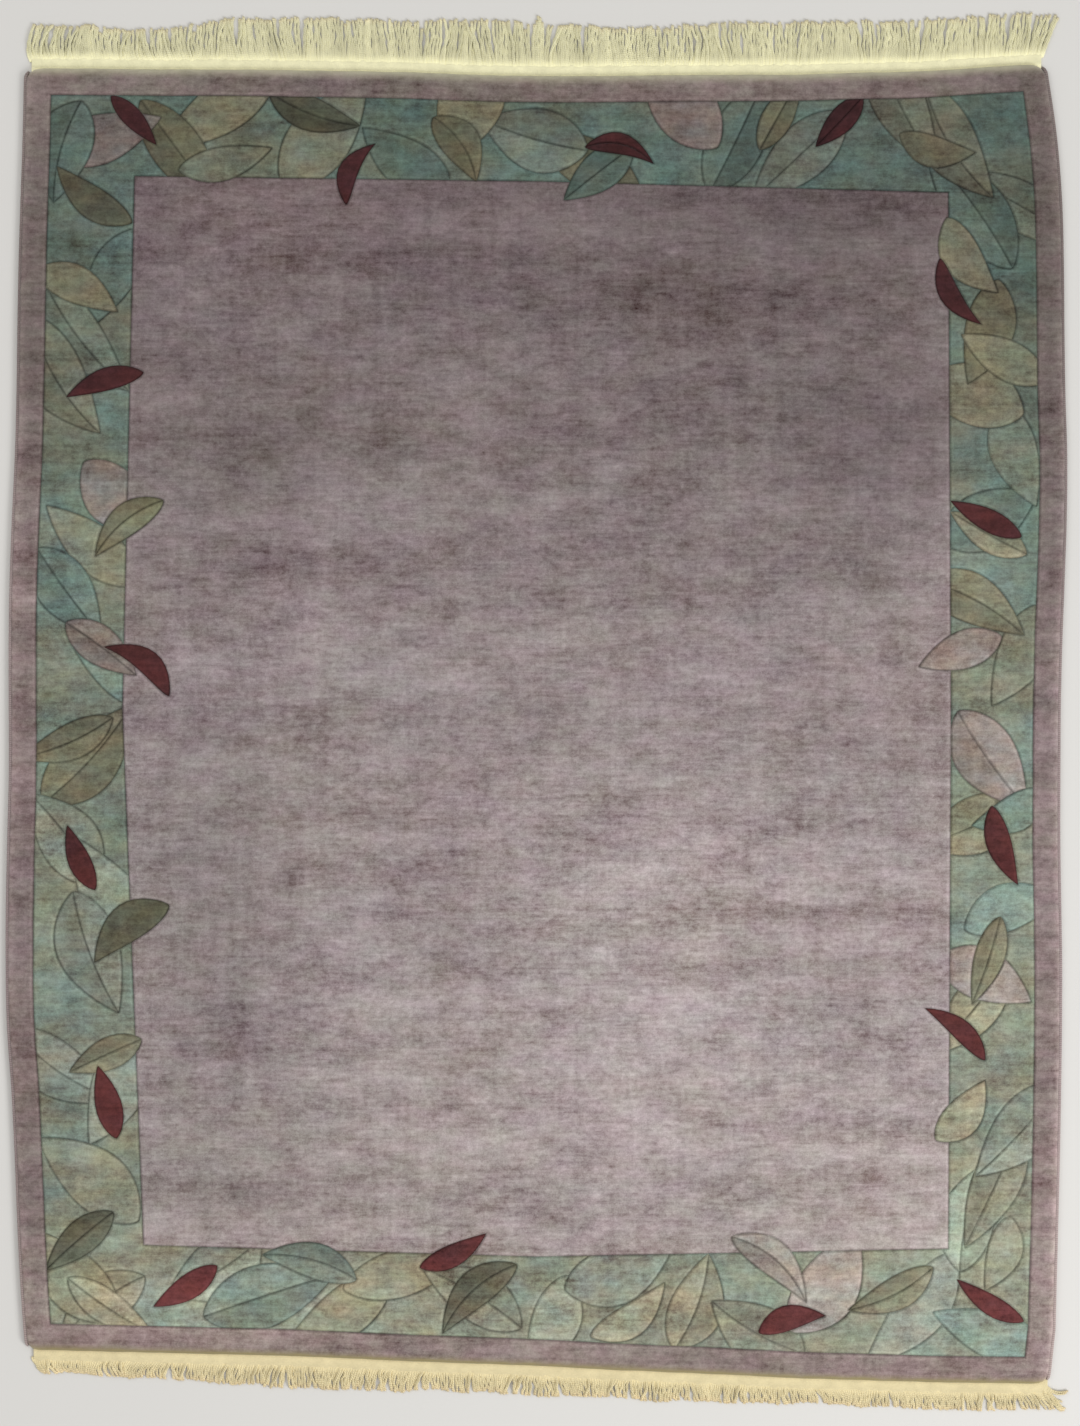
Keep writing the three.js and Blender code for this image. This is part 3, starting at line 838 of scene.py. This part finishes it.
# Painted light: each end's light across its heading and on its yarn roots, and its painted shade from side to
# side.
fringe_ends = (
    {"node": "fringe_top", "side": "upper", "way": 1, "pieces": 3,
     "heading": 0.024, "inset": (0.006, 0.002), "shade": (229, 225, 187),
     "light": (1.42, 1.11, 1.22), "root_light": 1.26, "sides": (1.0, 1.0)},
    {"node": "fringe_bottom", "side": "lower", "way": -1, "pieces": 2,
     "heading": 0.025, "inset": (0.008, 0.004), "shade": (229, 215, 172),
     "light": (1.03, 1.10, 0.97), "root_light": 1.07, "sides": (1.02, 0.95)},
)
heading_light_at = (0.22, 0.45, 1)
heading_height = 0.0035
heading_edge = {"share": 0.12, "thin": 0.62}
warp_pitch = 0.00367
weft_pitch = 0.0038
tucked_under = 0.005
weave_relief = 0.00035
heading_waver = {"amount": 0.0045, "size": 0.012}


def heading_span(end):
    """Where the heading at one end starts and stops, from left to right."""
    corners = cloth_corners[:2] if end["way"] < 0 else cloth_corners[3:1:-1]
    return corners[0][0] + end["inset"][0], corners[1][0] - end["inset"][1]


def heading_band(end):
    """The woven band at one end: a sheet of crossings, closed underneath."""
    way = end["way"]
    low_x, high_x = heading_span(end)
    columns = round((high_x - low_x) / warp_pitch * 2) + 1
    rows = round((end["heading"] + tucked_under) / weft_pitch * 2) + 1
    x = np.linspace(low_x, high_x, columns)
    out = np.linspace(0, 1, rows)
    body = np.sin(np.clip((0.5 - np.abs(out - 0.5)) / heading_edge["share"], 0, 1) * math.pi / 2)
    woven = np.cos(math.pi * np.arange(columns))[:, None] * np.cos(math.pi * np.arange(rows))
    thickness = heading_height * (heading_edge["thin"] + (1 - heading_edge["thin"]) * body)
    height = thickness - weave_relief * (0.5 + 0.5 * woven)
    spots = [Vector((px / heading_waver["size"], 0, way)) for px in x]
    waver = heading_waver["amount"] * np.array([noise.noise(spot) for spot in spots])
    width = end["heading"] + waver[:, None] + tucked_under
    y = edge(end["side"], x)[:, None] + way * (out * width - tucked_under)
    upper = np.stack((np.repeat(x[:, None], rows, 1), y, height), -1)
    under = upper[:, [-1, 0]] * (1, 1, 0)
    loops = np.concatenate((upper, under), 1)
    faces = tube_faces(columns, rows + 2)
    if way > 0:
        faces = [face[::-1] for face in faces]
    piece = meshed(end["node"].replace("fringe", "heading"), loops.reshape(-1, 3), faces, cotton.material)
    # painted light across the heading, and painted shade from side to side
    light = np.interp(np.concatenate((out, (1, 0))), heading_light_at, end["light"])
    light = np.outer(np.interp(x, (low_x, high_x), end["sides"]), light).ravel()
    shades = np.outer(light, (*linear(end["shade"]), 1))
    marked(piece, "cotton", "FLOAT_COLOR", "POINT", shades)
    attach(piece, "root")
    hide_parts(end["node"])
    return piece


trimmings += [heading_band(end) for end in fringe_ends]

# The fringe: the warps themselves, cut to about one length. They come out of the heading in pairs and lie on
# the floor side by side, parted here and there by handling, some across their neighbours. They fray at the
# tips. Their roots are painted lighter, running on from the heading, and the lower fringe darker towards its
# right.
yarn_radius = 0.00145
yarn_step = 0.0040
yarn_points = 7
least_steps = 5
yarn_thickness = (0.92, 1.10)
yarn_light = {"lock": (0.96, 1.05), "pair": (0.92, 1.10), "yarn": (0.97, 1.03)}
pairs_a_lock = 3
pair_gap = {"root": 0.00126, "tip": 0.00085}
second_yarn_lift = 0.0007
second_pair_lift = 0.0012
flattened = 1.12
flows = ({"amount": 0.0095, "size": 0.060}, {"amount": 0.0030, "size": 0.0135})
flow_level = 3.7
stretched_flow = 0.45
freed = 1.6
wander = {"amount": 0.0009, "second": 0.5, "waves": (0.8, 2.0)}
crinkle = {"amount": 0.0006, "rise": 0.6, "length": (0.011, 0.022), "full_at": 0.5}
# The yarns' roots; lit sets how far along them the painted light reaches.
rooted = {"size": 0.82, "over": 0.014, "height": 0.00115, "spread": 0.32, "bound": 0.4, "lit": 1.5}
crossing = {"share": 0.13, "reach": (0.007, 0.020), "lift": 0.0028, "from": 0.2, "curve": 1.3}
arch = {"from": 0.10, "to": 0.95}
short = {"share": 0.07, "by": (0.04, 0.16)}
uneven_cut = 0.02
tip_flare = {"over": 0.007, "size": 1.12, "blunt": 0.78, "turn": 0.6}
fibres = {
    "count": 6, "length": (0.0025, 0.0070), "radius": 0.00026, "off_middle": 0.7, "spread": 0.50,
    "rise": 0.22, "curl": 0.35, "bend_at": 0.55, "bend": 0.3, "thinned": 0.8,
}
hidden_root = 0.30
tip_length = 0.010
tip_tint = (1.02, 0.96, 0.95)
widest_past_tip = 2.0
partings = {
    "upper": {
        "share": 0.55, "width": (0.0014, 0.0048), "opens": (0.22, 0.62), "closes": (0.25, 0.60),
        "longest": 1.045, "uneven": 0.075, "rounded": 0.02,
        "at": ((-0.866, 0.0065, 0.35), (0.945, 0.0060, 0.45)),
    },
    "lower": {
        "share": 0.70, "width": (0.0012, 0.0042), "opens": (0.25, 0.75), "closes": (0.7, 1.2),
        "longest": 1.03, "uneven": 0.07, "rounded": 0.05,
        "at": ((0.675, 0.0080, 0.15), (-0.360, 0.0040, 0.35), (-0.142, 0.0050, 0.30), (-0.007, 0.0045, 0.35)),
    },
}
fans = {
    "upper": ({"corner": 0, "over": 0.110, "middle": 0.008, "tip": 0.034},),
    "lower": (
        {"corner": 0, "over": 0.090, "middle": 0.014, "tip": 0.025},
        {"corner": 1, "over": 0.060, "middle": -0.006, "tip": -0.010},
    ),
}
tufts = {
    "upper": (
        {"x": 0.002, "reach": 0.015, "longer": 0.21},
        {"x": -0.654, "reach": 0.007, "longer": 0.10},
    ),
}
tuft_drawn = 0.5
strays = {
    "lower": (
        ((0.962, -1.277), (0.976, -1.292), (1.003, -1.292)),
        ((0.960, -1.278), (0.977, -1.296), (0.999, -1.295)),
        ((0.957, -1.280), (0.967, -1.310), (0.996, -1.325)),
        ((0.959, -1.279), (0.974, -1.303), (0.989, -1.312)),
        ((0.962, -1.281), (0.975, -1.312), (0.987, -1.330)),
    ),
}
stray_near = 0.02
stray_lift = 0.0015
lock_ridge = {"middle": 0.0049, "tip": 0.00336}
ridge_slack = {"middle": 6e-5, "tip": 3e-5}
seeds = {"partings": 70, "yarns": 40, "ends_apart": 10}


def lock_lines(end):
    """The middle and tip of each lock of the solid's fringe, from the ridges of its triangles."""
    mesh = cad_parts[end["node"]].data
    found = {}
    for face in mesh.polygons:
        corners = [mesh.vertices[k].co for k in face.vertices]
        middle, tip = (
            [corner for corner in corners if abs(corner.z - lock_ridge[part]) < ridge_slack[part]]
            for part in ("middle", "tip")
        )
        if middle and tip:
            found[round(tip[0].x, 5), round(tip[0].y, 5)] = (middle[0].x, middle[0].y)
    return np.array(sorted((middle, tip) for tip, middle in found.items()))


def fringe_lines(end):
    """The root, middle and tip of lines down one end's fringe, between every two locks and at each side."""
    locks = lock_lines(end)
    low_x, high_x = heading_span(end)
    first_x, last_x = low_x + warp_pitch, high_x - warp_pitch
    root_x = np.linspace(first_x, last_x, len(locks))
    root_y = edge(end["side"], root_x) + end["way"] * end["heading"] * (1 - hidden_root)
    middle_x, (tip_x, tip_y) = locks[:, 0, 0], locks[:, 1].T
    beyond = np.pad(tip_y, 1, mode="edge")
    tip_y = (beyond[:-2] + beyond[1:-1] + beyond[2:]) / 3
    for fan in fans[end["side"]]:
        near = np.clip(1 - np.abs(root_x - (first_x, last_x)[fan["corner"]]) / fan["over"], 0, 1)
        middle_x = middle_x + fan["middle"] * near
        tip_x = tip_x + fan["tip"] * near
    rows = ((root_x, root_y), (middle_x, (root_y + tip_y) / 2), (tip_x, tip_y))
    lines = np.transpose(rows, (2, 0, 1))
    before = 1.5 * lines[:1] - 0.5 * lines[1:2]
    after = 1.5 * lines[-1:] - 0.5 * lines[-2:-1]
    return np.concatenate((before, (lines[:-1] + lines[1:]) / 2, after))


def partings_of(end, lines, draw):
    """How the fringe is parted on each line: the width, and where along its length it opens and closes."""
    found = partings[end["side"]]
    count = len(lines)
    width = draw.uniform(*found["width"], count) * (draw.random(count) < found["share"])
    opens = draw.uniform(*found["opens"], count)
    closes = opens + draw.uniform(*found["closes"], count)
    for x, own_width, own_opens in found["at"]:
        nearest = np.argmin(np.abs(lines[:, 2, 0] - x))
        width[nearest], opens[nearest], closes[nearest] = own_width, own_opens, widest_past_tip
    return np.stack((width, opens, closes), 1)


def parted(parting, share):
    """Half the width of a parting at shares of the length."""
    width, opens, closes = parting
    return width / 2 * np.sin(math.pi * np.clip((share - opens) / (closes - opens), 0, 1))


def spun_tube(path, radius, spread):
    """A yarn along a path, pressed wider by spread: its rings of points and their places in the twist."""
    ahead = np.gradient(path, axis=0)
    ahead /= np.linalg.norm(ahead, axis=1)[:, None]
    side = np.cross(ahead, (0, 0, 1))
    side /= np.linalg.norm(side, axis=1)[:, None]
    over = np.cross(side, ahead)
    run = run_along(path)
    loose = np.clip(run / rooted["over"] - rooted["bound"], 0, 1)
    turn = 2 * math.pi * np.arange(yarn_points) / yarn_points
    spoke = (spread[:, None] * side)[:, None] * np.cos(turn)[:, None] + over[:, None] * np.sin(turn)[:, None]
    place = np.broadcast_arrays(np.cos(turn), np.sin(turn), run[:, None], loose[:, None])
    return path[:, None] + radius[:, None, None] * spoke, np.stack(place, -1)


def loose_fibre(start, ahead, draw):
    """One fibre of a frayed tip: two small rings and a point."""
    swing = fibres["spread"] * (2 * draw.random() - 1)
    cos, sin = math.cos(swing), math.sin(swing)
    rise = fibres["rise"] * (2 * draw.random() - 1)
    heading = np.array((ahead[0] * cos - ahead[1] * sin, ahead[0] * sin + ahead[1] * cos, rise))
    side = np.array((-heading[1], heading[0], 0))
    length = draw.uniform(*fibres["length"])
    bent = side * draw.uniform(-fibres["curl"], fibres["curl"])
    turn = 2 * math.pi * np.arange(3) / 3
    ring = fibres["radius"] * (np.cos(turn)[:, None] * side + np.sin(turn)[:, None] * np.array((0, 0, 1)))
    middle = start + length * (fibres["bend_at"] * heading + fibres["bend"] * bent)
    tip = start + length * (heading + bent)
    return np.concatenate((start + ring, middle + fibres["thinned"] * ring, tip[None]))


def fibre_faces(first):
    """Faces of a loose fibre whose points start at first."""
    sides = [(first + k, first + (k + 1) % 3, first + 3 + (k + 1) % 3, first + 3 + k) for k in range(3)]
    point = [(first + 3 + k, first + 3 + (k + 1) % 3, first + 6) for k in range(3)]
    return [(first + 2, first + 1, first), *sides, *point]


def yarn_path(line, pair, aside, above, draw):
    """The line one yarn takes from inside the heading to its tip, its size and how far it is pressed flat."""
    root, middle, tip = line
    length = np.linalg.norm(middle - root) + np.linalg.norm(tip - middle)
    cut = pair["cut"] * (1 - uneven_cut * draw.random())
    share = np.linspace(0, cut, max(least_steps, round(length * cut / yarn_step)))
    x, y = (
        np.outer(root, 2 * (share - 0.5) * (share - 1))
        + np.outer(middle, 4 * share * (1 - share))
        + np.outer(tip, 2 * share * (share - 0.5))
    )
    x = x + parted(pair["before"], share) * (1 - pair["place"]) ** 2
    x = x - parted(pair["after"], share) * pair["place"] ** 2
    free = np.clip(share * freed, 0, 1)
    for layer in flows:
        size = layer["size"]
        spots = (Vector((px / size, py / size * stretched_flow, flow_level)) for px, py in zip(x, y))
        x = x + layer["amount"] * free * np.array([noise.noise(spot) for spot in spots])
    for amount, phase, waves in zip((1, wander["second"]), pair["phases"], pair["waves"]):
        x = x + amount * wander["amount"] * free * np.sin(2 * math.pi * waves * share + phase)
    x = x + pair["across"] * np.clip(share - crossing["from"], 0, 1) ** crossing["curve"]
    x = x + (pair["tuft"] - x) * pair["drawn"] * share**2
    x = x + aside * (pair_gap["root"] + (pair_gap["tip"] - pair_gap["root"]) * np.clip(share, 0, 1))
    run = share * length
    off_heading = np.clip(run / rooted["over"], 0, 1)
    z = rooted["height"] + (yarn_radius - rooted["height"]) * off_heading
    arched = np.clip(share * (arch["to"] - arch["from"]) + arch["from"], 0, 1)
    z += (above + pair["lift"]) * off_heading * np.sin(math.pi * arched)
    bends, phases = draw.uniform(*crinkle["length"], 2), draw.uniform(0, 2 * math.pi, 2)
    grown = crinkle["amount"] * np.clip(share / crinkle["full_at"], 0, 1)
    x = x + grown * np.sin(2 * math.pi * run / bends[0] + phases[0])
    z += crinkle["rise"] * grown * (1 + np.sin(2 * math.pi * run / bends[1] + phases[1]))
    size = rooted["size"] + (1 - rooted["size"]) * off_heading
    near_tip = np.clip(1 - (run[-1] - run) / tip_flare["over"], 0, 1)
    size *= 1 + (tip_flare["size"] - 1) * np.sin(tip_flare["turn"] * math.pi * near_tip)
    size[-1] *= tip_flare["blunt"]
    spread = flattened + rooted["spread"] * (1 - off_heading)
    return np.stack((x, y, z), 1), size, spread


def pairs_of(end, lines, gaps, draw):
    """What the two yarns of each pair share, and the line they follow, for the locks between some lines."""
    unparted = (0.0, 0.0, 1.0)
    cuts = partings[end["side"]]
    for k in range(len(lines) - 1):
        lock_light = draw.uniform(*yarn_light["lock"])
        for place in (np.arange(pairs_a_lock) + 0.5) / pairs_a_lock:
            line = lines[k] + place * (lines[k + 1] - lines[k])
            cut = cuts["longest"] - cuts["uneven"] * draw.random() - cuts["rounded"] * (2 * place - 1) ** 2
            if draw.random() < short["share"]:
                cut -= draw.uniform(*short["by"])
            crosses = draw.random() < crossing["share"]
            pair = {
                "before": gaps[k], "after": gaps[k + 1], "place": place, "cut": cut,
                "phases": draw.uniform(0, 2 * math.pi, 2), "waves": draw.uniform(*wander["waves"], 2),
                "across": crosses * draw.choice((-1, 1)) * draw.uniform(*crossing["reach"]),
                "lift": crosses * crossing["lift"] + round(place * pairs_a_lock) % 2 * second_pair_lift,
                "tuft": 0.0, "drawn": 0.0, "light": lock_light * draw.uniform(*yarn_light["pair"]),
            }
            for tuft in tufts.get(end["side"], ()):
                near = max(0.0, 1 - abs(line[2][0] - tuft["x"]) / tuft["reach"])
                if near > 0:
                    pair.update({"cut": 1 + tuft["longer"] * near, "across": 0.0})
                    pair.update({"tuft": tuft["x"], "drawn": tuft_drawn})
            yield line, pair
    for stray in strays.get(end["side"], ()):
        if lines[0][0][0] <= stray[0][0] + stray_near and stray[0][0] - stray_near <= lines[-1][0][0]:
            yield np.array(stray), {
                "before": unparted, "after": unparted, "place": 0.5, "cut": 1.0,
                "phases": (0.0, 0.0), "waves": (1, 1), "across": 0.0, "lift": stray_lift,
                "tuft": 0.0, "drawn": 0.0, "light": 1.0,
            }


def yarns(end, number, lines, gaps, seed):
    """The yarns between some of the lines at one end, as one piece."""
    draw = np.random.default_rng(seed)
    rows, faces, shades, turns = [], [], [], []
    total = 0
    for line, pair in pairs_of(end, lines, gaps, draw):
        # painted shade from side to side, as on the heading
        shade = linear(end["shade"]) * np.interp(line[0][0], (-1, 1), end["sides"])
        for aside in (-1, 1):
            path, radius, spread = yarn_path(line, pair, aside, max(aside, 0) * second_yarn_lift, draw)
            radius *= yarn_radius * draw.uniform(*yarn_thickness)
            tube, turn = spun_tube(path, radius, spread)
            turn[..., 2] += draw.uniform(0, yarn_lay)
            own = pair["light"] * draw.uniform(*yarn_light["yarn"])
            tip = np.clip(1 - np.arange(len(path))[::-1] * yarn_step / tip_length, 0, 1)
            # painted light on the roots, running on from the heading's
            at_root = np.clip(rooted["lit"] - np.arange(len(path)) * yarn_step / rooted["over"], 0, 1)
            own_lights = own * (1 - at_root) + end["root_light"] * at_root
            tint = own_lights[:, None] * (1 + (np.array(tip_tint) - 1) * tip[:, None])
            rows.append(tube.reshape(-1, 3))
            faces += tube_faces(*tube.shape[:2], total)
            shades.append(np.repeat(tint * shade, yarn_points, 0))
            turns.append(turn.reshape(-1, 4))
            total += len(rows[-1])
            ahead = path[-1] - path[-3]
            ahead /= np.linalg.norm(ahead)
            for _ in range(fibres["count"]):
                start = path[-2] + draw.uniform(-fibres["off_middle"], fibres["off_middle"], 3) * radius[-2]
                loose = loose_fibre(start, ahead, draw)
                rows.append(loose)
                faces += fibre_faces(total)
                shades.append(np.tile(own * shade * tip_tint, (len(loose), 1)))
                turns.append(np.zeros((len(loose), 4)))
                total += len(loose)
    points = np.concatenate(rows)
    points[:, 2] = np.maximum(points[:, 2], 0.0)
    piece = meshed(f"yarns_{end['side']}_{number}", points, faces, cotton.material)
    colours = np.concatenate(shades)
    marked(piece, "cotton", "FLOAT_COLOR", "POINT", np.column_stack((colours, np.ones(len(colours)))))
    marked(piece, "turn", "FLOAT_COLOR", "POINT", np.concatenate(turns))
    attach(piece, "root")
    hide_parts(end["node"])
    return piece


for end in fringe_ends:
    lines = fringe_lines(end)
    gaps = partings_of(end, lines, np.random.default_rng(seeds["partings"] + end["way"]))
    share = (len(lines) - 1) // end["pieces"]
    for number in range(end["pieces"]):
        part = slice(number * share, (number + 1) * share + 1 if number < end["pieces"] - 1 else None)
        seed = seeds["ends_apart"] * end["way"] + seeds["yarns"] + number
        trimmings.append(yarns(end, number + 1, lines[part], gaps[part], seed))

# The studio: a plain pale floor just under the rug, soft light from all round with a little more from the
# lower right, and a camera straight above the middle.
floor_size = 14
floor_drop = 0.0003
room = {"colour": (1.0, 0.99, 0.97, 1), "light": 0.62}
bpy.ops.mesh.primitive_plane_add(size=floor_size, location=(0, 0, -floor_drop))
floor = bpy.context.object
floor.name = "floor"
paint = Finish("floor_paint")
paint.surface((0.72, 0.71, 0.69, 1), 0.0, Roughness=0.8)
floor.data.materials.append(paint.material)

world = bpy.data.worlds.new("pale_room")
world.use_nodes = True
background = world.node_tree.nodes["Background"]
background.inputs["Color"].default_value = room["colour"]
background.inputs["Strength"].default_value = room["light"]
bpy.context.scene.world = world


def soft_light(name, place, size, power):
    """A large square lamp that faces the middle of the rug."""
    lamp = bpy.data.lights.new(name, "AREA")
    lamp.size = size
    lamp.energy = power
    holder = bpy.data.objects.new(name, lamp)
    holder.location = place
    holder.rotation_euler = (-Vector(place)).to_track_quat("-Z", "Y").to_euler()
    bpy.context.collection.objects.link(holder)


soft_light("window", (5.2, -3.8, 4.4), 3.0, 320)
soft_light("far_wall", (-4.0, 3.5, 5.0), 4.0, 70)

camera_place = (0.0057, -0.0066, 6.01)
camera = bpy.data.objects.new("camera", bpy.data.cameras.new("camera"))
camera.location = camera_place
camera.data.lens = 80
camera.data.sensor_width = 36
bpy.context.collection.objects.link(camera)
bpy.context.scene.camera = camera
bpy.context.scene.view_settings.view_transform = "Standard"
